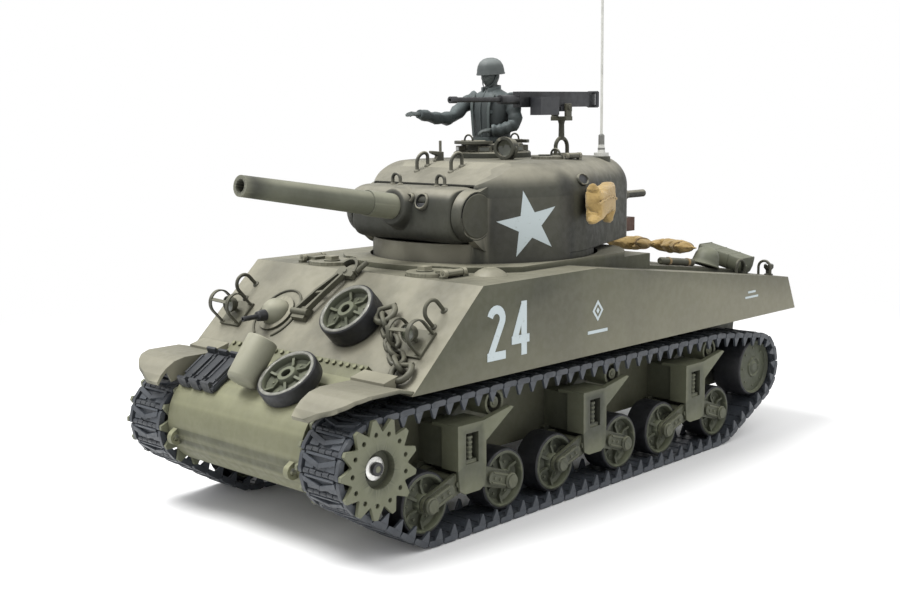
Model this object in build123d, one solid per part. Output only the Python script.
"""1/16 scale radio-controlled medium tank, one STEP file per sub-part.

Millimetres.  +X is the tank's front, +Y its left side, +Z up.  The origin is on the ground,
in the middle of the model's length and width.
"""
from build123d import *
from math import cos, sin, pi, radians
import os

os.makedirs("parts", exist_ok=True)

# ---- driving dimensions -----------------------------------------------------------------
HALF_LENGTH = 184.2
CHEEK_R = 10.5
BROW_BACK = (30.0, 168.0)
BROW_FRONT = (52.6, 157.8)
FLANGE_BOLTS = 21
MUDGUARD_Y0, MUDGUARD_Y1 = 50.6, 81.8
MUDGUARD_CORNER_X, MUDGUARD_CORNER_R = 166.0, 15.0          # model length is twice this
HULL_HALF_WIDTH = 82.3       # sponson side plates
LOWER_HALF_WIDTH = 49.5      # lower hull tray
WALL = 2.6                   # hull plate thickness
BELLY_Z = 27.0
SPONSON_Z = 73.0             # underside of the sponsons
ROOF_Z = 116.3
GLACIS_TOP_X = 97.4
GLACIS_FOOT_X = 143.1
ROOF_BEND_X = 13.4           # behind this the side plate's top edge slopes down
REAR_TOP = (-174.9, 92.9)
REAR_FOOT_X = -HALF_LENGTH

TRACK_Y = 65.5               # track centre line
TRACK_HALF_WIDTH = 13.0
TRACK_THICKNESS = 4.0
TRACK_LINKS = 79
PAD_GROOVE = 0.7

WHEEL_R = 15.0
WHEEL_Z = 19.2
WHEEL_Y0, WHEEL_Y1 = 58.35, 72.65
WHEEL_OFFSET = 26.9          # wheel centre from the bogie centre
BOGIE_X = (99.5, 7.2, -85.1)
PIVOT_OFFSET = 8.5           # arm pivot from the bogie centre
PIVOT_Z = 25.0
PIN_R = 1.5
RUNNING_GAP = 0.06           # radial clearance of every turning fit

SPROCKET_X, SPROCKET_Z = 161.1, 44.2
SPROCKET_TEETH = 13
SPROCKET_TIP_R, SPROCKET_ROOT_R = 22.0, 16.6
SPROCKET_TRACK_R = 18.3      # inner face of the track round the sprocket
IDLER_X, IDLER_Z = -151.4, 40.0
IDLER_R = 17.3
AXLE_R = 2.0
ROLLER_R = 6.4
ROLLER_BACK = 20.0           # return roller behind the bogie centre
TOP_RUN_Z = 68.05            # outer face of the top run at x = 0
TOP_RUN_SLOPE = 2.3 / 264.0
TRACK_GAP = 0.15             # between the track and each roller or wheel

TURRET_X = 7.2               # turret ring centre
TURRET_R = 60.0
TURRET_BASE_Z = 117.0
TURRET_ROOF_Z = 168.0
TURRET_WALL = 3.0
RING_R = 48.0                # hole in the hull roof
BUSTLE_CORNER_R = 22.0
BUSTLE_CORNER_X = -66.8
BUSTLE_CORNER_Y = 14.0
BUSTLE_Z = 122.0

GUN_X, GUN_Z = 57.0, 143.0   # trunnion axis
GUN_REST_ANGLE = 9.08        # degrees above level
MANTLET_HALF_WIDTH = 35.5
MANTLET_R = 14.0
BORE_R = 3.05
BORE_DEPTH = 34.0

# ---- helpers ----------------------------------------------------------------------------
SIDES = (("left", 1), ("right", -1))
# the glacis as a work plane: local X runs down the slope, local Y is the tank's Y
GLACIS_RUN = Vector(GLACIS_FOOT_X - GLACIS_TOP_X, 0, SPONSON_Z - ROOF_Z)
GLACIS_LENGTH = GLACIS_RUN.length
GLACIS_DOWN = GLACIS_RUN.normalized()
GLACIS_OUT = Vector(-GLACIS_DOWN.Z, 0, GLACIS_DOWN.X)
GLACIS = Plane(origin=(GLACIS_TOP_X, 0, ROOF_Z), x_dir=GLACIS_DOWN, z_dir=GLACIS_OUT)

# driver hatches
HATCH_X, HATCH_Y, HATCH_R = 84.5, 36.0, 12.0
HATCH_HINGE_Y = 51.5
HATCH_HINGE_Z = ROOF_Z + 2.3
# ball centre: distance down the glacis, y, and distance out of its face
BOW_GUN_DOWN, BOW_GUN_Y, BOW_GUN_OUT = 32.5, -37.0, 1.0
BOW_PIN_FOOT = 11.0          # pin end below the ball centre
BOW_BALL_R = 7.6
VENT = (66.0, 58.0)          # x and y of the roof ventilator
HITCH_R = 2.1                # takes a 4 mm hitch pin
GLACIS_SLOPE = 43.45         # degrees below level
# back centre (x, y, z), slope below level and thickness of each spare wheel
SPARE_WHEELS = ((119.6, 21.7, 95.8, GLACIS_SLOPE, 11.0), (160.8, 24.0, 72.75, 35.0, 8.0))
SANDBAGS = (
    # x, y, z of the centre, then length, width, height and turn about the vertical
    (-118.0, 2.0, 110.6, 30.0, 16.0, 9.0, 84.0),
    (-134.0, 20.0, 108.4, 30.0, 15.0, 9.0, 78.0),
    (-139.0, -16.0, 107.6, 30.0, 15.0, 9.0, 96.0),
    (-120.0, 36.0, 110.2, 22.0, 15.0, 8.5, 60.0),
)
# ends of the canister on the nose, and the places of the rear deck load
CANISTER = ((159.3, 0.5, 90.5), (173.1, 0.5, 72.3))
JERRY_CAN = (-153.0, 50.0, 106.8)
HELMET = (-133.0, 55.0, 101.4)

TRUNNION_R = 3.0
RING_Z = 108.0               # foot of the turret ring
LOADER_HATCH = (-24.0, 22.5)
LOADER_R = 11.5
LOADER_HINGE_Y = 36.5
LOADER_HINGE_Z = TURRET_ROOF_Z + 1.9
CUPOLA = (-25.0, -22.5)
PINTLE = (-57.0, 2.0)
MG_Z = 199.9                 # bore of the roof gun
SPOTLIGHT = (0.0, 4.0, 176.0)
LIFTING_EYES = ((36, 16, 165.75), (34, -31, 166.65))
PACK = (-14.4, 62.6, 146.0)  # centre of the side pack
PACK_TURN = 19.6
MG_PIN_Z = 195.4             # cradle pin of the roof gun
ANTENNA = (-63.0, 26.0)
ANTENNA_TOP_Z = 330.0
BARREL_ROOT_R = 6.5
BARREL_TIP_R = 5.0
BARREL_END = 113.5           # muzzle, from the trunnions along the bore


def block(x0, x1, y0, y1, z0, z1):
    """Box between two corners."""
    return Pos((x0 + x1) / 2, (y0 + y1) / 2, (z0 + z1) / 2) * Box(x1 - x0, y1 - y0, z1 - z0)


def rod(start, end, radius, end_radius=None):
    """Round bar or cone from one point to another."""
    direction = Vector(*end) - Vector(*start)
    place = Plane(origin=start, z_dir=direction)
    align = (Align.CENTER, Align.CENTER, Align.MIN)
    if end_radius is None:
        return place * Cylinder(radius, direction.length, align=align)
    return place * Cone(radius, end_radius, direction.length, align=align)


def across(x, z, radius, y0, y1):
    """Round bar along Y."""
    return rod((x, y0, z), (x, y1, z), radius)


def side_plane(y):
    """Sketch plane whose axes are the tank's X and Z, at a given Y."""
    return Plane(origin=(0, y, 0), x_dir=(1, 0, 0), z_dir=(0, -1, 0))


def plate(points, y0, y1):
    """Prism along Y from an outline of (x, z) points."""
    return extrude(side_plane(y1) * Polygon(*points, align=None), amount=y1 - y0, dir=(0, -1, 0))


def belt_face(circles, y):
    """Face whose outline goes round a set of (x, z, radius) circles, like a belt round pulleys."""
    return side_plane(y) * make_hull([(Pos(x, z) * Circle(r)).edge() for x, z, r in circles])


def hull_prism(circles, y0, y1):
    """Prism along Y with the outline of belt_face."""
    return extrude(belt_face(circles, y1), amount=y1 - y0, dir=(0, -1, 0))


def ball(x, y, z, radius):
    return Pos(x, y, z) * Sphere(radius)


def hoop(foot_a, foot_b, up, height, wire_r):
    """Bent wire handle standing on two feet."""
    a, b, up = Vector(*foot_a), Vector(*foot_b), Vector(*up).normalized()
    half = (b - a) * 0.5
    rise = max(height - half.length, 0.5)
    shoulder_a, shoulder_b = a + up * rise, b + up * rise
    top = a + half + up * (rise + half.length)
    path = Wire([Line(a, shoulder_a), ThreePointArc(shoulder_a, top, shoulder_b), Line(shoulder_b, b)])
    return sweep(Plane(origin=a, z_dir=up) * Circle(wire_r), path=path)


def mirrored(solid):
    """The same piece on the tank's right side."""
    return mirror(solid, about=Plane.XZ)


def on_side(solid, side):
    return solid if side > 0 else mirrored(solid)


def save(name, *pieces):
    """One node: its pieces are separate solids."""
    solids = [s for piece in pieces for s in piece.solids()]
    shape = solids[0] if len(solids) == 1 else Compound(children=solids)
    export_step(shape, f"parts/{name}.step")


def on_glacis(down, y, out=0.0):
    """Point on the glacis, some way down it and out from it."""
    p = Vector(GLACIS_TOP_X, y, ROOF_Z) + GLACIS_DOWN * down + GLACIS_OUT * out
    return (p.X, p.Y, p.Z)


def deck_z(x):
    """Height of the side plate's top edge behind the roof bend."""
    return ROOF_Z + (x - ROOF_BEND_X) * (ROOF_Z - REAR_TOP[1]) / (ROOF_BEND_X - REAR_TOP[0])


def top_run_z(x):
    """Outer face of the track's top run."""
    return TOP_RUN_Z + x * TOP_RUN_SLOPE


# ---- running gear -----------------------------------------------------------------------
def road_wheel(x):
    """Rubber-tyred wheel with a dished face, a rim lip, a hub and six ribs."""
    tyre = across(x, WHEEL_Z, WHEEL_R, WHEEL_Y0, WHEEL_Y1)
    tyre = chamfer(tyre.edges().filter_by(GeomType.CIRCLE), 0.6)
    dish = across(x, WHEEL_Z, 12.6, WHEEL_Y1 - 3.2, WHEEL_Y1 + 1)
    dish -= across(x, WHEEL_Z, 4.6, WHEEL_Y1 - 4, WHEEL_Y1 + 2)
    wheel = tyre - dish - across(x, WHEEL_Z, PIN_R + RUNNING_GAP, WHEEL_Y0 - 1, WHEEL_Y1 + 1)
    for k in range(6):
        rib = block(x + 4.2, x + 12.8, WHEEL_Y1 - 3.3, WHEEL_Y1 - 1.4, WHEEL_Z - 0.8, WHEEL_Z + 0.8)
        wheel += rib.rotate(Axis((x, 0, WHEEL_Z), (0, 1, 0)), 60 * k)
    return wheel


def suspension_arm(bogie_x, forward):
    """Fork that holds one wheel; forward is +1 for the leading wheel."""
    pivot_x = bogie_x + forward * PIVOT_OFFSET
    wheel_x = bogie_x + forward * WHEEL_OFFSET
    outer = hull_prism([(pivot_x, PIVOT_Z, 4.9), (wheel_x, WHEEL_Z, 4.1)], 72.9, 74.9)
    rib_x = pivot_x + forward * 6.5
    rib_z = PIVOT_Z - 2.0
    outer += hull_prism([(rib_x, rib_z, 3.2), (wheel_x, WHEEL_Z, 3.4)], 74.9, 76.4)
    inner = hull_prism([(pivot_x, PIVOT_Z, 4.9), (wheel_x, WHEEL_Z, 4.1)], 53.4, 57.0)
    boss = across(pivot_x, PIVOT_Z, 3.8, 56.5, 73.4)
    arm = outer + inner + boss
    arm -= across(pivot_x, PIVOT_Z, PIN_R + RUNNING_GAP, 52, 78)
    arm += across(wheel_x, WHEEL_Z, PIN_R, 55.0, 74.0)
    arm += across(wheel_x, WHEEL_Z, 3.2, 76.0, 78.2)
    return arm


def bogie_bracket(x):
    """Bracket casting on the hull side with its pivot pins and return roller stub."""
    face_y = 76.7
    body = block(x - 8, x + 8, LOWER_HALF_WIDTH, 66, 31, 50.8)
    front = block(x - 9.5, x + 9.5, 66, face_y, 31, 50.8)
    window = block(x - 4.2, x + 4.2, face_y - 4.2, face_y + 1, 33.5, 48)
    front -= window
    web = block(x - 3.0, x + 3.0, LOWER_HALF_WIDTH, face_y, 20, 31.5)
    face_points = [(x - 9.5, 31.5), (x - 8.6, 21.5), (x - 5, 19.6), (x + 5, 19.6), (x + 8.6, 21.5),
                   (x + 9.5, 31.5)]
    face = plate(face_points, 75.2, face_y)
    back_points = [(x - 12, 31.5), (x - 12, 21), (x + 12, 21), (x + 12, 31.5)]
    back = plate(back_points, LOWER_HALF_WIDTH, 52.8)
    bracket = body + front + web + face + back
    for forward in (1, -1):
        bracket += across(x + forward * PIVOT_OFFSET, PIVOT_Z, PIN_R, 52.0, 76.0)
    wing_points = [(x + 9.5, 49.9), (x - 8.8, 49.9), (x - 8.8, 42), (x - 29, 55.2), (x - 27, 56),
                   (x - 8, 52.4), (x + 9.5, 52.4)]
    bracket += plate(wing_points, 73.6, face_y)
    roller_x = x - ROLLER_BACK
    roller_z = roller_centre_z(roller_x)
    bracket += hull_prism([(x - 4, 45.6, 3.5), (roller_x, roller_z, 3)], 53.4, 57.0)
    bracket += across(roller_x, roller_z, PIN_R, 56.0, 72.6)
    top_points = [(x - 12, 50.6), (x + 9.5, 50.6), (x + 9.5, 52.4), (x - 12, 52.4)]
    bracket += plate(top_points, 60, 74)
    return bracket


def volute_spring(x):
    """Spring in the bracket's window, with its seat plates."""
    spring_y = 74.2
    coil = rod((x, spring_y, 35.2), (x, spring_y, 46.4), 1.4)
    for k in range(5):
        z = 36.4 + 2.3 * k
        coil += Pos(x, spring_y, z) * Cylinder(1.6 + 0.06 * k, 1.1)
    seat = block(x - 3.6, x + 3.6, 72.9, 75.8, 33.5, 35.2)
    return coil + seat


def roller_centre_z(x):
    return top_run_z(x) - TRACK_THICKNESS - TRACK_GAP - ROLLER_R


def return_roller(x):
    z = roller_centre_z(x)
    roller = across(x, z, ROLLER_R, WHEEL_Y0, 72.3)
    roller -= across(x, z, 5.0, 68.6, 73)
    roller += across(x, z, 2.8, 68.0, 72.3)
    return roller - across(x, z, PIN_R + RUNNING_GAP, 57, 74)


def star_plate(y0, y1):
    """Toothed sprocket ring with a round hole in every tooth root."""
    points = []
    for k in range(SPROCKET_TEETH):
        centre = 2 * pi * k / SPROCKET_TEETH
        for angle, radius in ((-0.46, SPROCKET_ROOT_R), (-0.10, SPROCKET_TIP_R), (0.10, SPROCKET_TIP_R),
                              (0.46, SPROCKET_ROOT_R)):
            a = centre + angle * 2 * pi / SPROCKET_TEETH
            points.append((SPROCKET_X + radius * cos(a), SPROCKET_Z + radius * sin(a)))
    star = plate(points, y0, y1)
    for k in range(SPROCKET_TEETH):
        a = 2 * pi * k / SPROCKET_TEETH
        star -= across(SPROCKET_X + 15.6 * cos(a), SPROCKET_Z + 15.6 * sin(a), 1.1, y0 - 1, y1 + 1)
    return star


def sprocket():
    """Drive sprocket: two toothed rings on a drum, its washer and its hex screw."""
    drum = across(SPROCKET_X, SPROCKET_Z, 12.3, 50.6, 80.5)
    wheel = drum + star_plate(78.8, 80.6) + star_plate(50.5, 52.2)
    wheel -= across(SPROCKET_X, SPROCKET_Z, 8.5, 76.4, 82)
    wheel -= across(SPROCKET_X, SPROCKET_Z, 11.4, 50, 54.0)
    wheel -= across(SPROCKET_X, SPROCKET_Z, AXLE_R + RUNNING_GAP, 49, 77)
    washer = across(SPROCKET_X, SPROCKET_Z, 5.2, 76.4, 77.2)
    screw = extrude(side_plane(79.6) * Pos(SPROCKET_X, SPROCKET_Z) * RegularPolygon(2.9, 6), amount=2.4)
    return [wheel, washer, screw]


def idler():
    wheel = across(IDLER_X, IDLER_Z, IDLER_R, 55.5, 75.0)
    wheel -= across(IDLER_X, IDLER_Z, 15.2, 72.6, 76)
    wheel += across(IDLER_X, IDLER_Z, 6.2, 72.0, 75.0)
    wheel -= across(IDLER_X, IDLER_Z, 4.0, 73.9, 76)
    return wheel - across(IDLER_X, IDLER_Z, AXLE_R + RUNNING_GAP, 55, 73.4)


def track_pulleys(offset):
    """Circles that one face of the track wraps, offset out from its inner face."""
    pulleys = [(SPROCKET_X, SPROCKET_Z, SPROCKET_TRACK_R + offset),
               (IDLER_X, IDLER_Z, IDLER_R + TRACK_GAP + offset)]
    for bogie_x in BOGIE_X:
        roller_x = bogie_x - ROLLER_BACK
        pulleys.append((roller_x, roller_centre_z(roller_x), ROLLER_R + TRACK_GAP + offset))
    wheel_radius = WHEEL_Z - TRACK_THICKNESS + offset
    pulleys.append((BOGIE_X[0] + WHEEL_OFFSET, WHEEL_Z, wheel_radius))
    pulleys.append((BOGIE_X[2] - WHEEL_OFFSET, WHEEL_Z, wheel_radius))
    return pulleys


def track():
    """Closed track band: one groove across its outer face between one link and the next."""
    y0, y1 = TRACK_Y - TRACK_HALF_WIDTH, TRACK_Y + TRACK_HALF_WIDTH
    outer_face = belt_face(track_pulleys(TRACK_THICKNESS), y1)
    band = extrude(outer_face, amount=y1 - y0, dir=(0, -1, 0)) - hull_prism(track_pulleys(0), y0 - 1, y1 + 1)
    outline = outer_face.face().outer_wire()
    for k in range(TRACK_LINKS):
        p = outline @ (k / TRACK_LINKS)
        t = outline % (k / TRACK_LINKS)
        groove = Plane(origin=(p.X, TRACK_Y, p.Z), x_dir=t, z_dir=(0, 1, 0)) * Box(1.1, 2 * PAD_GROOVE, 40)
        band -= groove
    return band


# ---- hull -------------------------------------------------------------------------------
def lower_hull():
    """Open tray with idler axles and final drive bearing plates."""
    outer = [(-170, SPONSON_Z), (-166, 50), (-158, BELLY_Z), (148.8, BELLY_Z), (148.8, SPONSON_Z)]
    inner = [(-167, SPONSON_Z + 1), (-163.2, 50.4), (-156, BELLY_Z + WALL), (149.8, BELLY_Z + WALL),
             (149.8, SPONSON_Z + 1)]
    tray = plate(outer, -LOWER_HALF_WIDTH, LOWER_HALF_WIDTH)
    tray -= plate(inner, -LOWER_HALF_WIDTH + WALL, LOWER_HALF_WIDTH - WALL)
    for _, side in SIDES:
        mount = hull_prism([(IDLER_X, IDLER_Z, 6), (IDLER_X + 20, IDLER_Z + 12, 6)], LOWER_HALF_WIDTH - 1,
                           52.4)
        mount += across(IDLER_X, IDLER_Z, AXLE_R, LOWER_HALF_WIDTH - 1, 73.2)
        mount += across(IDLER_X, IDLER_Z, 3.6, 52.0, 55.2)
        tray += on_side(mount, side)
    for x in (-140, -60, 20, 100):
        tray += block(x - 1, x + 1, -LOWER_HALF_WIDTH + 2, LOWER_HALF_WIDTH - 2, BELLY_Z + 2, BELLY_Z + 4.6)
    return tray


def roof_ring_outline(radius):
    return Pos(TURRET_X, 0) * Circle(radius)


def fender(side):
    """Front mudguard: a curved sheet with a rounded outer corner, its inner wall and foot plate."""
    crown = [(141.5, 75.0), (150, 77.2), (168, 77.2), (174, 75.9), (179, 73.0), (182, 70.2),
             (HALF_LENGTH, 67.0)]
    under = [(x - 0.7, z - 1.6) for x, z in reversed(crown)]
    guard = plate(crown + under, MUDGUARD_Y0, MUDGUARD_Y1)
    footprint = make_hull([
        (Pos(MUDGUARD_CORNER_X, MUDGUARD_Y1 - MUDGUARD_CORNER_R) * Circle(MUDGUARD_CORNER_R)).edge(),
        (Pos(HALF_LENGTH - 2.0, MUDGUARD_Y0 + 7.5) * Circle(2.0)).edge(),
        Polyline((135, MUDGUARD_Y0), (135, MUDGUARD_Y1), (140, MUDGUARD_Y1)).edges()[0],
        Line((HALF_LENGTH, MUDGUARD_Y0), (135, MUDGUARD_Y0)),
    ])
    guard &= extrude(Pos(0, 0, 50) * footprint, amount=40)
    wall = plate([(141.5, 74.6), (150, 76.6), (168, 76.6), (174, 75.3), (179, 72.4), (176, 66), (160, 70.6),
                  (150, 71.5), (141.5, 71.5)], MUDGUARD_Y0, MUDGUARD_Y0 + 1.4)
    foot = plate([(143.2, 74.9), (150, 77.0), (150, 78.4), (141.6, 80.6)], 50.25, 72.0)
    return on_side(guard + wall + foot, side)


def upper_hull():
    """Sloped upper hull shell: sponsons, glacis, roof platform, engine deck and mudguards."""
    outline = [(GLACIS_FOOT_X, SPONSON_Z), (GLACIS_TOP_X, ROOF_Z), (ROOF_BEND_X, ROOF_Z), REAR_TOP,
               (REAR_FOOT_X, SPONSON_Z)]
    shell = plate(outline, -HULL_HALF_WIDTH, HULL_HALF_WIDTH)
    platform_back_x = -58.0
    platform_half_width = 63.5
    platform = block(platform_back_x, 80, -platform_half_width, platform_half_width, 100, ROOF_Z)
    lip = extrude(roof_ring_outline(76), amount=2.7)
    lip &= block(platform_back_x, 100, -platform_half_width, platform_half_width, -1, 4)
    lip -= Pos(TURRET_X, 0, 1.35) * Cylinder(61.6, 6)
    lip = Pos(0, 0, ROOF_Z) * lip
    deck_front, deck_back = -57.0, -162.0
    deck = plate([(deck_front, deck_z(deck_front) - 2), (deck_front, deck_z(deck_front) + 2),
                  (deck_back, deck_z(deck_back) + 2), (deck_back, deck_z(deck_back) - 2)], -60, 60)
    shell += platform
    shell += lip
    shell += deck

    cavity = [(139.0, SPONSON_Z + WALL), (GLACIS_TOP_X - 1.2, ROOF_Z - WALL),
              (platform_back_x + WALL, ROOF_Z - WALL),
              (platform_back_x + WALL, deck_z(platform_back_x) - WALL), (-172.6, 90.6),
              (-180.4, SPONSON_Z + WALL)]
    shell -= plate(cavity, -platform_half_width + WALL, platform_half_width - WALL)
    sponson_cavity = [(139.0, SPONSON_Z + WALL), (GLACIS_TOP_X - 1.2, ROOF_Z - WALL),
                      (ROOF_BEND_X - 0.3, ROOF_Z - WALL),
                      (-172.6, 90.6), (-180.4, SPONSON_Z + WALL)]
    shell -= plate(sponson_cavity, -HULL_HALF_WIDTH + WALL, HULL_HALF_WIDTH - WALL)
    shell -= block(-166, 139.0, -LOWER_HALF_WIDTH + WALL, LOWER_HALF_WIDTH - WALL, SPONSON_Z - 1,
                   SPONSON_Z + WALL + 1)
    shell -= Pos(TURRET_X, 0, ROOF_Z) * Cylinder(RING_R, 12)

    # engine deck grilles, cut as shallow slots
    for side in (1, -1):
        for k in range(12):
            x = -75.0 - 6.4 * k
            shell -= block(x - 1.1, x + 1.1, min(side * 14, side * 50), max(side * 14, side * 50),
                           deck_z(x) + 1.0, deck_z(x) + 4)
    # seats of the two crew hatches
    for side in (1, -1):
        shell -= Pos(HATCH_X, side * HATCH_Y, ROOF_Z + 4.8) * Cylinder(HATCH_R + 0.4, 12)
        boss = block(HATCH_X - 9, HATCH_X + 9, side * HATCH_HINGE_Y - 1.2, side * HATCH_HINGE_Y + 1.2,
                     ROOF_Z - 0.5,
                     ROOF_Z + 1.4)
        boss -= block(HATCH_X - 5.3, HATCH_X + 5.3, side * HATCH_HINGE_Y - 4, side * HATCH_HINGE_Y + 4,
                      ROOF_Z - 1,
                      ROOF_Z + 4)
        shell += boss
        for end in (1, -1):
            ear = rod((HATCH_X + end * 5.3, side * HATCH_HINGE_Y, HATCH_HINGE_Z),
                      (HATCH_X + end * 7.6, side * HATCH_HINGE_Y, HATCH_HINGE_Z), 1.9)
            shell += ear
        shell -= rod((HATCH_X - 9, side * HATCH_HINGE_Y, HATCH_HINGE_Z),
                     (HATCH_X + 9, side * HATCH_HINGE_Y, HATCH_HINGE_Z), 0.86)
    # ball socket of the bow gun
    socket = on_glacis(BOW_GUN_DOWN, BOW_GUN_Y, BOW_GUN_OUT)
    ring = GLACIS * Pos(BOW_GUN_DOWN, BOW_GUN_Y, 0) * Cylinder(10.6, 2.8)
    backing = Pos(*socket) * Sphere(BOW_BALL_R + 2.6)
    backing &= plate([(GLACIS_FOOT_X, SPONSON_Z), (GLACIS_TOP_X, ROOF_Z), (60, ROOF_Z), (60, SPONSON_Z)],
                     -60, 0)
    shell += ring + backing
    shell -= Pos(*socket) * Sphere(BOW_BALL_R + 0.08)
    shell -= rod(socket, on_glacis(BOW_GUN_DOWN, BOW_GUN_Y, BOW_GUN_OUT - 14), 5.2)
    x, y, z = socket
    shell += block(x - 3.2, x + 6, y - 3.5, y + 3.5, z - BOW_PIN_FOOT + 0.4, z - BOW_BALL_R - 1)
    shell -= rod((x, y, z - BOW_PIN_FOOT - 1), (x, y, z - 4), PIN_R + RUNNING_GAP)
    # ventilator dome on the roof's right front corner
    shell += Pos(VENT[0], VENT[1], ROOF_Z - 7.2) * Sphere(11) & block(0, 200, -80, 80, ROOF_Z - 1, ROOF_Z + 9)
    for _, side in SIDES:
        shell += fender(side)
    return shell


# ---- hatches, bow gun -------------------------------------------------------------------


def driver_hatch(side):
    """Round hatch cover with a periscope, hinged on its outer edge."""
    lid = Pos(HATCH_X, HATCH_Y, ROOF_Z + 0.6) * Cylinder(HATCH_R, 2.4)
    arm = block(HATCH_X - 4.9, HATCH_X + 4.9, HATCH_Y + 8, HATCH_HINGE_Y, ROOF_Z + 1.2, ROOF_Z + 3.2)
    arm += rod((HATCH_X - 4.9, HATCH_HINGE_Y, HATCH_HINGE_Z), (HATCH_X + 4.9, HATCH_HINGE_Y, HATCH_HINGE_Z),
               1.7)
    pin = rod((HATCH_X - 7.6, HATCH_HINGE_Y, HATCH_HINGE_Z), (HATCH_X + 7.6, HATCH_HINGE_Y, HATCH_HINGE_Z),
              0.8)
    periscope = Pos(HATCH_X + 2, HATCH_Y - 2, ROOF_Z + 1.6) * Cylinder(4.2, 1.6)
    periscope += block(HATCH_X - 0.5, HATCH_X + 4.5, HATCH_Y - 4.5, HATCH_Y + 0.5, ROOF_Z + 1.6, ROOF_Z + 4.3)
    return on_side(lid + arm + pin + periscope, side)


def bow_gun():
    """Machine gun in the glacis: a ball that swivels on a pin below it."""
    centre = on_glacis(BOW_GUN_DOWN, BOW_GUN_Y, BOW_GUN_OUT)
    gun = Pos(*centre) * Sphere(BOW_BALL_R)
    x, y, z = centre
    gun += rod((x, y, z - BOW_PIN_FOOT), (x, y, z - 4), PIN_R)
    gun += rod((x + 5, y, z), (x + 12, y, z - 0.2), 2.6, 2.0)
    gun += rod((x + 11, y, z - 0.2), (x + 21, y, z - 0.6), 1.2)
    gun -= rod((x + 17, y, z - 0.45), (x + 22, y, z - 0.65), 0.55)
    return gun


# ---- hull fittings ----------------------------------------------------------------------
def transmission_cover():
    """Rounded cast nose over the final drives, with its bolted flange and tow lugs."""
    lower = side_plane(50)
    outline = [
        Line((148.8, BELLY_Z), (167.7, BELLY_Z)),
        ThreePointArc((167.7, BELLY_Z), (179.4, 47.5), (160.1, 70.5)), Line((160.1, 70.5), (150.5, 72.0)),
        Line((150.5, 72.0), (148.8, 72.0)), Line((148.8, 72.0), (148.8, BELLY_Z)),
    ]
    cover = extrude(lower * make_face(outline), amount=100)
    hollow = plate([(147, 30), (167, 30), (174.5, 38), (175.4, 46), (169, 58), (157, 66.2), (147, 69)], -47,
                   47)
    cover -= hollow
    lip = plate([(GLACIS_FOOT_X + 0.6, SPONSON_Z + 0.3), (148.9, 73.1), (148.9, 71.2), (152.0, 71.2),
                 (151.0, 73.2),
                 (GLACIS_FOOT_X + 1.6, 76.2)], -50, 50)
    flange = GLACIS * block(GLACIS_LENGTH - 9, GLACIS_LENGTH - 0.1, -50, 50, 0.05, 3.4)
    cover += lip + flange
    for k in range(FLANGE_BOLTS):
        y = -47.5 + 95 * k / (FLANGE_BOLTS - 1)
        cover += GLACIS * Pos(GLACIS_LENGTH - 7.2, y, 3.3) * extrude(RegularPolygon(1.2, 6), amount=1.2)
    for side in (1, -1):
        cover += across(SPROCKET_X, SPROCKET_Z, 13.5, min(side * 49.55, side * 50.1),
                        max(side * 49.55, side * 50.1))
        cover -= across(SPROCKET_X, SPROCKET_Z, 4.6, min(side * 40, side * 52), max(side * 40, side * 52))
        y = side * 44.0
        lug = hull_prism([(176, 42, 4.2), (179.6, 40.5, 3.6)], y - 1.6, y + 1.6)
        cover += lug - across(180.0, 40.5, 1.7, y - 3, y + 3)
    return cover


def lamp_and_guard(side):
    """Headlamp in its hoop guard beside the glacis edge."""
    up = (GLACIS_OUT.X, 0, GLACIS_OUT.Z)
    down, y = 36.5, 66.0
    base = GLACIS * Pos(down, y, 1.0) * Box(15, 15, 2)
    guard = hoop(on_glacis(down - 6, y - 6.5, 1), on_glacis(down + 6, y - 6.5, 1), up, 13, 0.8)
    guard += hoop(on_glacis(down - 6, y + 6.5, 1), on_glacis(down + 6, y + 6.5, 1), up, 14, 0.8)
    x, _, z = on_glacis(down - 1, y, 6.6)
    stem = rod(on_glacis(down - 1, y, 1), (x, y, z), 1.1)
    lamp = rod((x - 2.4, y, z), (x + 1.4, y, z), 2.0, 4.0)
    return on_side(base + guard + stem + lamp, side)


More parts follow.
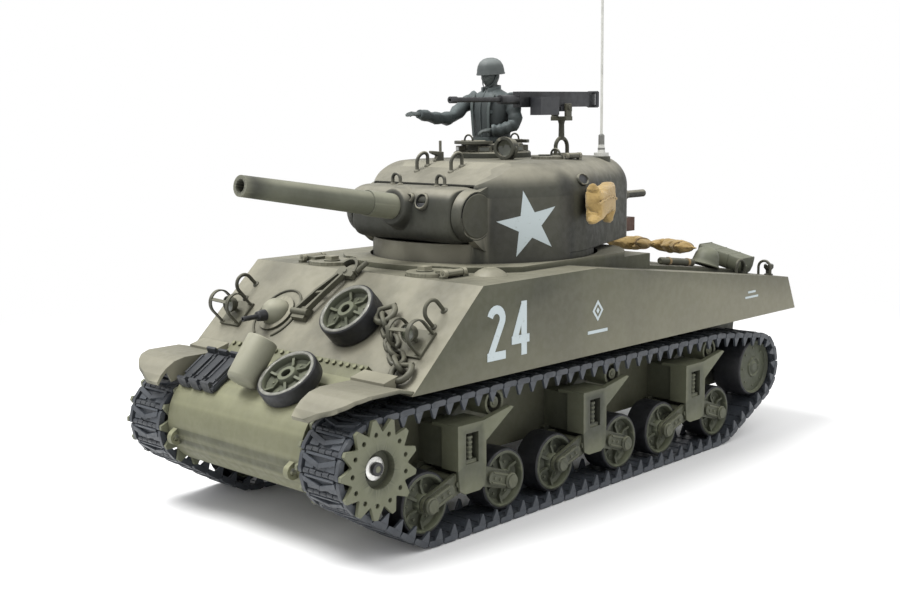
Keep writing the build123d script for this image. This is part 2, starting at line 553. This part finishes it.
def hull_fittings():
    """Handles, lamps, tail lamps, travel lock, tow chain and rear hitch."""
    up = (GLACIS_OUT.X, 0, GLACIS_OUT.Z)
    pieces = [lamp_and_guard(-1), lamp_and_guard(1)]
    for side in (1, -1):
        pieces.append(hoop(on_glacis(16.3, side * 69, 0.1), on_glacis(26, side * 69, 0.1), up, 11, 0.9))
    # rear corner lamps with a loop guard
    for side in (1, -1):
        x, y = -168.0, side * 73.0
        z = deck_z(x)
        lamp = rod((x, y, z + 0.3), (x, y, z + 4), 1.8) + ball(x, y, z + 4.5, 2.4)
        guard = hoop((x + 5, y - 4, z + 1.1), (x + 5, y + 4, z + 1.1), (0, 0, 1), 9, 0.8)
        pieces += [lamp, guard]
        pieces.append(hoop((-152, side * 66, deck_z(-152) + 0.3), (-143, side * 66, deck_z(-143) + 0.3),
                           (0, 0, 1), 8, 0.9))
    # gun travel lock lying on the glacis: two legs, a knuckle and a forked clamp head
    lock = GLACIS * (Pos(31, -17.5, 2.2) * Box(7, 9, 4.4))
    for y in (-14.5, -18.5):
        lock += rod(on_glacis(31, y, 2.6), on_glacis(5, y + 10.5, 2.6), 1.2)
    lock += GLACIS * (Pos(3, -5.5, 2.6) * Box(6, 11, 3.0))
    for y in (-11, 0):
        lock += rod(on_glacis(3, y, 2.6), on_glacis(-3.0, y + 2.2, 2.9), 1.3)
    pieces.append(lock)
    # tow chain: alternate links lie flat and on edge
    for k in range(9):
        t = k / 8
        centre = on_glacis(28 + 24 * t, 41 + 28 * t, 3.4)
        link_plane = Plane(origin=centre, x_dir=(GLACIS_DOWN.X, 1.4, GLACIS_DOWN.Z),
                           z_dir=GLACIS_OUT if k % 2 == 0 else GLACIS_DOWN)
        ring = Torus(2.6, 0.75)
        pieces.append(link_plane * ring if k % 2 == 0 else Plane(
            origin=centre, x_dir=GLACIS_OUT, z_dir=Vector(*GLACIS_DOWN) * 1.0 + Vector(0, -0.7, 0)) * ring)
    # rear hitch plate and its eye
    hitch = block(-176.5, -167.1, -8, 8, 52, 56)
    hitch += rod((-178.5, 0, 52), (-178.5, 0, 56), 5.0)
    hitch -= rod((-178.5, 0, 50), (-178.5, 0, 58), HITCH_R)
    pieces.append(hitch)
    return pieces


def slope_plane(x, y, z, slope):
    """Work plane leaning forward: its X runs down the slope."""
    a = radians(slope)
    return Plane(origin=(x, y, z), x_dir=(cos(a), 0, -sin(a)), z_dir=(sin(a), 0, cos(a)))


def spare_wheel(x, y, z, slope, thickness):
    """Dished wheel carried flat on the armour."""
    wheel = Pos(0, 0, thickness / 2) * Cylinder(WHEEL_R, thickness)
    wheel = chamfer(wheel.edges().filter_by(GeomType.CIRCLE), 0.6)
    wheel -= Pos(0, 0, thickness) * Cylinder(12.6, 5.6)
    wheel += Pos(0, 0, thickness - 2.4) * Cylinder(4.4, 4.8)
    for k in range(6):
        wheel += Rot(0, 0, 60 * k) * Pos(8.3, 0, thickness - 2.2) * Box(9, 1.6, 1.6)
    return slope_plane(x, y, z, slope) * wheel


def spare_wheels():
    return [spare_wheel(*place) for place in SPARE_WHEELS]


def spare_track_links():
    """Three track links carried on the nose: shoe and guide horns."""
    links = []
    for k in range(3):
        lean = slope_plane(164.35, -43.0 + 9.4 * k, 72.05, 33.0)
        link = Box(22, 8.4, 3.6)
        for end in (-9.6, 9.6):
            link += Pos(end, 0, 3.0) * Box(2, 4.5, 3.6)
        links.append(lean * link)
    return links


def cushion(x, y, z, length, width, height, turn, tilt=7.0):
    """Plain closed solid of one stuffed bag, with rounded edges."""
    bag = Box(length, width, height)
    bag = fillet(bag.edges(), min(height, width) * 0.36)
    return Pos(x, y, z) * Rot(0, -tilt, 0) * Rot(0, 0, turn) * bag


def deck_stowage():
    """Sandbags and boxes on the engine deck, and the canister on the nose."""
    bags = [cushion(*bag) for bag in SANDBAGS]
    can = Box(24, 12, 20)
    can = fillet(can.edges(), 2.2)
    can += Pos(0, 0, 10.6) * Box(11, 3, 2.2)
    x, y, z = JERRY_CAN
    can = Pos(x, y, z) * Rot(90, -7, 0) * can
    helmet = Pos(*HELMET) * (Sphere(7.6) & Pos(0, 0, 5.4) * Box(20, 20, 10.8))
    canister = rod(*CANISTER, 7.6)
    canister = chamfer(canister.edges().filter_by(GeomType.CIRCLE), 0.9)
    tool = rod((-78, 56, deck_z(-78) + 4.6), (-112, 56, deck_z(-112) + 4.6), 2.1)
    return bags + [can, helmet, canister, tool]


def battery_pack():
    """Six-cell pack in two layers of three, with its lead stub."""
    cells = []
    for row in (0, 1, 2):
        for layer in (0, 1):
            y = -23.5 + 23.5 * row
            z = 44.0 + 23.2 * layer
            cells.append(rod((-60, y, z), (-15, y, z), 11.4))
    return cells


def control_board():
    """Circuit board with its processor, heat sinks, capacitors and a loudspeaker."""
    board = block(-140, -76, -30, 30, 36, 37.6)
    parts = [board, block(-118, -104, -8, 8, 37.6, 39.4), block(-92, -82, -24, -8, 37.6, 47),
             block(-92, -82, 8, 24, 37.6, 47)]
    for k in range(3):
        parts.append(rod((-130, -14 + 14 * k, 37.6), (-130, -14 + 14 * k, 49), 4))
    for x, y in ((-136, -26), (-136, 26), (-80, -26), (-80, 26)):
        parts.append(rod((x, y, BELLY_Z + WALL), (x, y, 36), 2.2))
    speaker = rod((60, 0, BELLY_Z + WALL), (60, 0, 38), 20) + rod((60, 0, 38), (60, 0, 46), 9)
    parts.append(speaker)
    return parts


def drive_gearboxes():
    """One gearbox, motor and output shaft for each track."""
    parts = []
    for _, side in SIDES:
        box = block(118, 166.5, 4, 38, 33, 56)
        box += across(SPROCKET_X, SPROCKET_Z, 4.0, 37, 46)
        box += across(SPROCKET_X, SPROCKET_Z, AXLE_R, 45, 75.8)
        box += rod((118, 21, 44.5), (84, 21, 44.5), 12)
        box += rod((84, 21, 44.5), (80, 21, 44.5), 4)
        parts.append(on_side(box, side))
    return parts


# ---- turret -----------------------------------------------------------------------------
def turret_prism(inset, z0, z1, top_fillet):
    """Pear-shaped turret outline as a prism with a rounded top edge."""
    circles = [(Pos(TURRET_X, 0) * Circle(TURRET_R - inset)).edge()]
    for side in (1, -1):
        centre = Pos(BUSTLE_CORNER_X, side * BUSTLE_CORNER_Y)
        circles.append((centre * Circle(BUSTLE_CORNER_R - inset)).edge())
    body = extrude(Pos(0, 0, z0) * make_hull(circles), amount=z1 - z0)
    return fillet(body.faces().sort_by(Axis.Z)[-1].edges(), top_fillet)


def turret_shell():
    """Cast turret: hollow body, mantlet cheeks with trunnion bores, roof openings and ring collar."""
    inner = turret_prism(TURRET_WALL, TURRET_BASE_Z - 1, TURRET_ROOF_Z - TURRET_WALL, 14)
    shell = turret_prism(0, TURRET_BASE_Z, TURRET_ROOF_Z, 17) - inner
    floor = turret_prism(0.4, TURRET_BASE_Z, TURRET_ROOF_Z, 17)
    floor &= block(-100, 70, -70, 70, BUSTLE_Z, BUSTLE_Z + 2)
    below = block(-120, TURRET_X, -70, 70, TURRET_BASE_Z - 2, BUSTLE_Z)
    below -= Pos(TURRET_X, 0, BUSTLE_Z - 4) * Cylinder(59.5, 20)
    shell -= below
    shell += floor - Pos(TURRET_X, 0, BUSTLE_Z) * Cylinder(44, 12)
    skirt = Pos(TURRET_X, 0, BUSTLE_Z - 2) * (Cylinder(58.5, 6) - Cylinder(55, 8))
    shell += skirt & block(-60, 70, -70, 70, TURRET_BASE_Z, BUSTLE_Z + 1)
    for side in (1, -1):
        shell += hull_prism([(GUN_X + 0.5, GUN_Z - 0.4, CHEEK_R), (46, 147, CHEEK_R), (48, 135, CHEEK_R)],
                            min(side * 36.3, side * 41.5), max(side * 36.3, side * 41.5))
    # roof brow sloping down to the gun shield
    brow = turret_prism(0, TURRET_BASE_Z, TURRET_ROOF_Z, 17)
    brow &= plate([BROW_BACK, BROW_FRONT, (BROW_FRONT[0], BROW_FRONT[1] - 3.2), (26, 165)], -60, 60)
    shell -= plate([BROW_BACK, (90, BROW_FRONT[1] - (90 - BROW_FRONT[0]) * 0.45), (90, 190),
                    (BROW_BACK[0], 190)], -70, 70)
    shell -= across(GUN_X, GUN_Z, MANTLET_R + 0.5, -36.2, 36.2)
    shell -= block(GUN_X, 90, -36.2, 36.2, GUN_Z - MANTLET_R - 0.5, GUN_Z + MANTLET_R + 0.3)
    shell -= block(GUN_X - 6, 90, -36.2, 36.2, GUN_Z, TURRET_ROOF_Z + 5)
    shell -= block(GUN_X - 12, GUN_X + 1, -36.2, 36.2, GUN_Z - 12, GUN_Z + 12)
    shell += brow - across(GUN_X, GUN_Z, MANTLET_R + 0.5, -60, 60)
    shell -= across(GUN_X, GUN_Z, TRUNNION_R + RUNNING_GAP, -50, 50)
    ring = extrude(Pos(TURRET_X, 0, RING_Z) * (Circle(RING_R - RUNNING_GAP) - Circle(44.0)),
                   amount=BUSTLE_Z + 1 - RING_Z)
    shell += ring
    bearing = extrude(Pos(TURRET_X, 0, ROOF_Z + 0.15) * (Circle(58.5) - Circle(45.0)), amount=2.4)
    shell += bearing
    shell -= Pos(*LOADER_HATCH, TURRET_ROOF_Z) * Cylinder(LOADER_R + 0.4, 2.4)
    boss = block(LOADER_HATCH[0] - 7, LOADER_HATCH[0] + 7, LOADER_HINGE_Y - 1, LOADER_HINGE_Y + 1,
                 TURRET_ROOF_Z - 0.5,
                 TURRET_ROOF_Z + 1.2)
    boss -= block(LOADER_HATCH[0] - 4.3, LOADER_HATCH[0] + 4.3, 0, 80, TURRET_ROOF_Z - 1, TURRET_ROOF_Z + 4)
    shell += boss
    for end in (1, -1):
        x = LOADER_HATCH[0]
        shell += rod((x + end * 4.3, LOADER_HINGE_Y, LOADER_HINGE_Z),
                     (x + end * 6.4, LOADER_HINGE_Y, LOADER_HINGE_Z), 1.6)
    shell -= rod((LOADER_HATCH[0] - 8, LOADER_HINGE_Y, LOADER_HINGE_Z),
                 (LOADER_HATCH[0] + 8, LOADER_HINGE_Y, LOADER_HINGE_Z), 0.76)
    shell -= Pos(PINTLE[0], PINTLE[1], TURRET_ROOF_Z - 2) * Cylinder(1.5 + RUNNING_GAP, 12)
    shell += rod((*ANTENNA, TURRET_ROOF_Z - 4), (*ANTENNA, TURRET_ROOF_Z), 5.0)
    return shell


def turret_drive():
    """Toothed ring under the turret with its bayonet flange."""
    teeth = 72
    points = []
    for k in range(teeth):
        for step, radius in ((0.0, 50.2), (0.25, 52.4), (0.5, 52.4), (0.75, 50.2)):
            a = 2 * pi * (k + step) / teeth
            points.append((TURRET_X + radius * cos(a), radius * sin(a)))
    gear = extrude(Pos(0, 0, RING_Z - 3.2) * Polygon(*points, align=None), amount=3.2)
    return gear - Pos(TURRET_X, 0, RING_Z) * Cylinder(43, 20)


def loader_hatch():
    """Round lid with two raised pads, hinged at its left edge."""
    x, y = LOADER_HATCH
    lid = Pos(x, y, TURRET_ROOF_Z + 0.4) * Cylinder(LOADER_R, 2.2)
    lid += Pos(x + 3, y - 3, TURRET_ROOF_Z + 1.6) * Cylinder(3.4, 1.4)
    lid += hoop((x - 5, y + 1, TURRET_ROOF_Z + 1.4), (x - 5, y - 5, TURRET_ROOF_Z + 1.4), (0, 0, 1), 3.6, 0.6)
    lid += block(x - 3.9, x + 3.9, y + 9, LOADER_HINGE_Y, TURRET_ROOF_Z + 0.5, TURRET_ROOF_Z + 1.5 + 1.0)
    lid += rod((x - 3.9, LOADER_HINGE_Y, LOADER_HINGE_Z), (x + 3.9, LOADER_HINGE_Y, LOADER_HINGE_Z), 1.5)
    return lid + rod((x - 6.4, LOADER_HINGE_Y, LOADER_HINGE_Z), (x + 6.4, LOADER_HINGE_Y, LOADER_HINGE_Z),
                     0.7)


def turret_fittings():
    """Commander's cupola, lamp, lifting eyes, sight vane, pack, side port and bustle boxes."""
    cx, cy = CUPOLA
    ring = Pos(cx, cy, TURRET_ROOF_Z + 1.7) * Cylinder(22.0, 3.4)
    ring += Pos(cx, cy, TURRET_ROOF_Z + 5.0) * Cylinder(17.5, 6.0)
    ring -= Pos(cx, cy, TURRET_ROOF_Z + 6.0) * Cylinder(14.5, 10.0)
    ring = Pos(0, 0, 0.05) * ring
    flaps = []
    for side in (1, -1):
        flap = Pos(cx, cy, 176.4) * (Cylinder(14, 1.6) & Pos(-side * 7.2, 0, 0) * Box(14, 40, 5))
        flaps.append(Pos(-side * 21.6, 0, 0) * flap)
    lamp_x, lamp_y, lamp_z = SPOTLIGHT
    lamp = rod((lamp_x, lamp_y, TURRET_ROOF_Z + 0.05), (lamp_x, lamp_y, lamp_z), 1.2)
    lamp += rod((lamp_x - 4, lamp_y, lamp_z), (lamp_x + 3.4, lamp_y, lamp_z), 3.4, 5.0)
    lamp -= rod((lamp_x + 1.6, lamp_y, lamp_z), (lamp_x + 5, lamp_y, lamp_z), 4.2)
    pieces = [ring, lamp] + flaps
    for x, y, z in LIFTING_EYES:
        pieces.append(hoop((x, y - 3.0, z), (x, y + 3.0, z), (0, 0, 1), 7.5, 0.85))
    vane = block(25.5, 28.5, -16, -11, TURRET_ROOF_Z + 0.05, TURRET_ROOF_Z + 2.8)
    vane += rod((27, -13.5, 170), (27, -13.5, 178), 0.6)
    pieces.append(vane)
    pieces.append(rod((-94.2, 20, 144.5), (-89.05, 20, 144.5), 3.0)
                  + rod((-112, 20, 144.5), (-94, 20, 144.5), 2.2))
    pieces.append(fillet(block(-97, -89, 6, 25, 123.5, 131.5).edges(), 1.0))
    pack = Box(32, 11, 26)
    pack = fillet(pack.edges(), 3.4)
    pack = Pos(*PACK) * Rot(0, 0, PACK_TURN) * pack
    pieces.append(pack)
    return pieces


def commander_figure():
    """Half-figure standing in the cupola: torso, helmeted head and two arms."""
    cx, cy = CUPOLA
    torso = loft([Pos(cx, cy, 172.5) * Ellipse(8.2, 11.0), Pos(cx, cy, 188) * Ellipse(8.4, 12.6),
                  Pos(cx, cy, 202) * Ellipse(7.0, 13.0), Pos(cx, cy, 205.5) * Ellipse(4.2, 6.0)])
    head = Pos(cx + 1, cy, 213.4) * Sphere(6.3) + rod((cx, cy, 204), (cx, cy, 211), 3.6)
    helmet = Pos(cx + 0.8, cy, 215.0) * Sphere(8.2) & block(cx - 12, cx + 12, cy - 12, cy + 12, 214.2, 224)
    arms = rod((cx, cy - 11, 200), (cx + 20, cy - 13, 190), 4.0, 3.4) + rod((cx + 20, cy - 13, 190),
                                                                            (36, -30, 193), 3.3, 2.4)
    arms += ball(cx + 20, cy - 13, 190, 3.7) + ball(38, -30.5, 193.4, 3.0)
    arms += rod((cx, cy + 11, 200), (cx + 1, cy + 19, 186), 4.0, 3.4) + rod((cx + 1, cy + 19, 186),
                                                                            (cx + 13, cy + 8, 183), 3.3, 2.6)
    arms += ball(cx + 1, cy + 19, 186, 3.7) + ball(cx + 14, cy + 7, 183, 3.0)
    return torso + head + helmet + arms


def gun_pintle():
    """Machine gun mount: foot, post and a yoke with the cradle pin."""
    x, y = PINTLE
    foot = Pos(x, y, TURRET_ROOF_Z + 1.1) * Cylinder(6.4, 2.0)
    foot += rod((x, y, TURRET_ROOF_Z - 6), (x, y, TURRET_ROOF_Z + 1), 1.5)
    post = rod((x, y, TURRET_ROOF_Z + 2), (x, y, 189), 2.0, 1.6)
    for end in (1, -1):
        post += rod((x + end * 5, y, TURRET_ROOF_Z + 2), (x, y, 176), 1.0)
    yoke = block(x - 3, x + 3, y - 5.6, y + 5.6, 188, 190.4)
    for side in (1, -1):
        yoke += block(x - 2.4, x + 2.4, y + side * 4.8 - 0.8, y + side * 4.8 + 0.8, 190, MG_PIN_Z + 2.2)
    yoke += across(x, MG_PIN_Z, 1.1, y - 5.6, y + 5.6)
    return foot + post + yoke


def machine_gun():
    """Receiver, jacketed barrel, spade grips and ammunition box of the roof gun."""
    x, y = PINTLE
    receiver = block(-79, -18, y - 2.6, y + 2.6, MG_Z - 4.2, MG_Z + 4.4)
    cradle = block(x - 5, x + 5, y - 3.7, y + 3.7, MG_PIN_Z - 2.2, MG_Z - 4)
    gun = receiver + cradle
    gun += rod((-18.5, y, MG_Z), (-4, y, MG_Z), 2.5) + rod((-5, y, MG_Z), (34.6, y, MG_Z), 1.35)
    gun += rod((30, y, MG_Z), (34.6, y, MG_Z), 1.8)
    gun -= rod((27, y, MG_Z), (36, y, MG_Z), 0.7)
    gun += block(-84, -78.5, y - 1, y + 1, MG_Z - 3, MG_Z + 3)
    for side in (1, -1):
        gun += rod((-86, y + side * 3.2, MG_Z - 4.4), (-86, y + side * 3.2, MG_Z + 4.4), 1.1)
    for z in (MG_Z - 4.0, MG_Z + 4.0):
        gun += across(-86, z, 0.8, y - 3.4, y + 3.4)
    gun += block(-87, -83.5, y - 0.9, y + 0.9, MG_Z - 4, MG_Z + 4)
    gun += block(-42, -26, y + 3.0, y + 10.6, MG_Z - 8.5, MG_Z + 1.5) + block(-40, -28, y + 2, y + 4, MG_Z
                                                                              - 2, MG_Z)
    gun -= across(x, MG_PIN_Z, 1.1 + RUNNING_GAP, y - 8, y + 8)
    return gun


def antenna():
    """Sprung aerial base and whip."""
    x, y = ANTENNA
    base = Pos(x, y, TURRET_ROOF_Z + 0.05) * Cylinder(4.2, 2.0, align=(Align.CENTER, Align.CENTER, Align.MIN))
    base += rod((x, y, TURRET_ROOF_Z), (x, y, 177), 2.4, 1.5)
    return base + rod((x, y, 176), (x, y, ANTENNA_TOP_Z), 0.75)


def mantlet():
    """Rounded gun shield on its trunnions, with the collar round the barrel."""
    shield = across(GUN_X, GUN_Z, MANTLET_R, -MANTLET_HALF_WIDTH, MANTLET_HALF_WIDTH)
    shield = fillet(shield.edges().filter_by(GeomType.CIRCLE), 4.0)
    front = block(GUN_X - 4, GUN_X + 14.5, -27, 27, GUN_Z - 12.6, GUN_Z + 12.2)
    shield += fillet(front.edges(), 3.6)
    shield += gun_frame() * Pos(0, 0, 8) * Cylinder(9.6, 11, align=(Align.CENTER, Align.CENTER, Align.MIN))
    shield += across(GUN_X, GUN_Z, TRUNNION_R, -41.0, 41.0)
    shield -= across_hole(17.0, 150.0, 2.4) + across_hole(8.0, 151.0, 1.3)
    shield -= gun_frame() * Cylinder(BARREL_ROOT_R, 60,
                                     align=(Align.CENTER, Align.CENTER, Align.MIN)) & block(
        GUN_X + 6, 120, -30, 30, 100, 200)
    for y in (18, -14):
        shield += hoop((GUN_X + 1.5, y - 2.8, 155.6), (GUN_X + 1.5, y + 2.8, 155.6), (0, 0, 1), 7.0, 0.85)
    return shield


def across_hole(y, z, radius):
    """Sight or coaxial gun hole, drilled back into the shield."""
    return rod((GUN_X + 6, y, z), (GUN_X + 20, y, z), radius)


def gun_frame():
    """Work plane at the trunnion whose Z runs up the barrel."""
    a = radians(GUN_REST_ANGLE)
    return Plane(origin=(GUN_X, 0, GUN_Z + 1.2), x_dir=(0, 1, 0), z_dir=(cos(a), 0, sin(a)))


def gun_barrel():
    """Tapered barrel seated in the shield's collar, hollow at the muzzle."""
    low = (Align.CENTER, Align.CENTER, Align.MIN)
    barrel = Pos(0, 0, 10) * Cylinder(BARREL_ROOT_R - 0.02, 26, align=low)
    barrel += Pos(0, 0, 36) * Cone(BARREL_ROOT_R - 0.6, BARREL_TIP_R, BARREL_END - 36, align=low)
    barrel -= Pos(0, 0, BARREL_END - BORE_DEPTH) * Cylinder(BORE_R, BORE_DEPTH + 5, align=low)
    barrel &= Pos(0, 0, 10) * Cylinder(10, BARREL_END, align=low)
    return gun_frame() * (barrel - Pos(0, 0, 0) * Cylinder(20, 7.5, align=low))


def build_all():
    for name, side in SIDES:
        number = 0
        for bogie_x in BOGIE_X:
            for forward in (1, -1):
                number += 1
                save(f"wheel_{number}_{name}", on_side(road_wheel(bogie_x + forward * WHEEL_OFFSET), side))
                save(f"arm_{number}_{name}", on_side(suspension_arm(bogie_x, forward), side))
        for k, bogie_x in enumerate(BOGIE_X, start=1):
            save(f"return_roller_{k}_{name}", on_side(return_roller(bogie_x - ROLLER_BACK), side))
        save(f"sprocket_{name}", *[on_side(piece, side) for piece in sprocket()])
        save(f"idler_{name}", on_side(idler(), side))
        save(f"track_{name}", on_side(track(), side))
    brackets = [on_side(piece, side) for _, side in SIDES for x in BOGIE_X for piece in (bogie_bracket(x),
                                                                                         volute_spring(x))]
    save("suspension_brackets", *brackets)
    save("lower_hull", lower_hull())
    save("upper_hull", upper_hull())
    save("transmission_cover", transmission_cover())
    save("driver_hatch_left", driver_hatch(1))
    save("driver_hatch_right", driver_hatch(-1))
    save("bow_gun", bow_gun())
    save("hull_fittings", *hull_fittings())
    save("spare_wheels", *spare_wheels())
    save("spare_track_links", *spare_track_links())
    save("deck_stowage", *deck_stowage())
    save("battery_pack", *battery_pack())
    save("control_board", *control_board())
    save("drive_gearboxes", *drive_gearboxes())
    save("turret_shell", turret_shell())
    save("turret_drive", turret_drive())
    save("turret_fittings", *turret_fittings())
    save("commander_figure", commander_figure())
    save("antenna", antenna())
    save("loader_hatch", loader_hatch())
    save("gun_pintle", gun_pintle())
    save("machine_gun", machine_gun())
    save("mantlet", mantlet())
    save("gun_barrel", gun_barrel())


build_all()
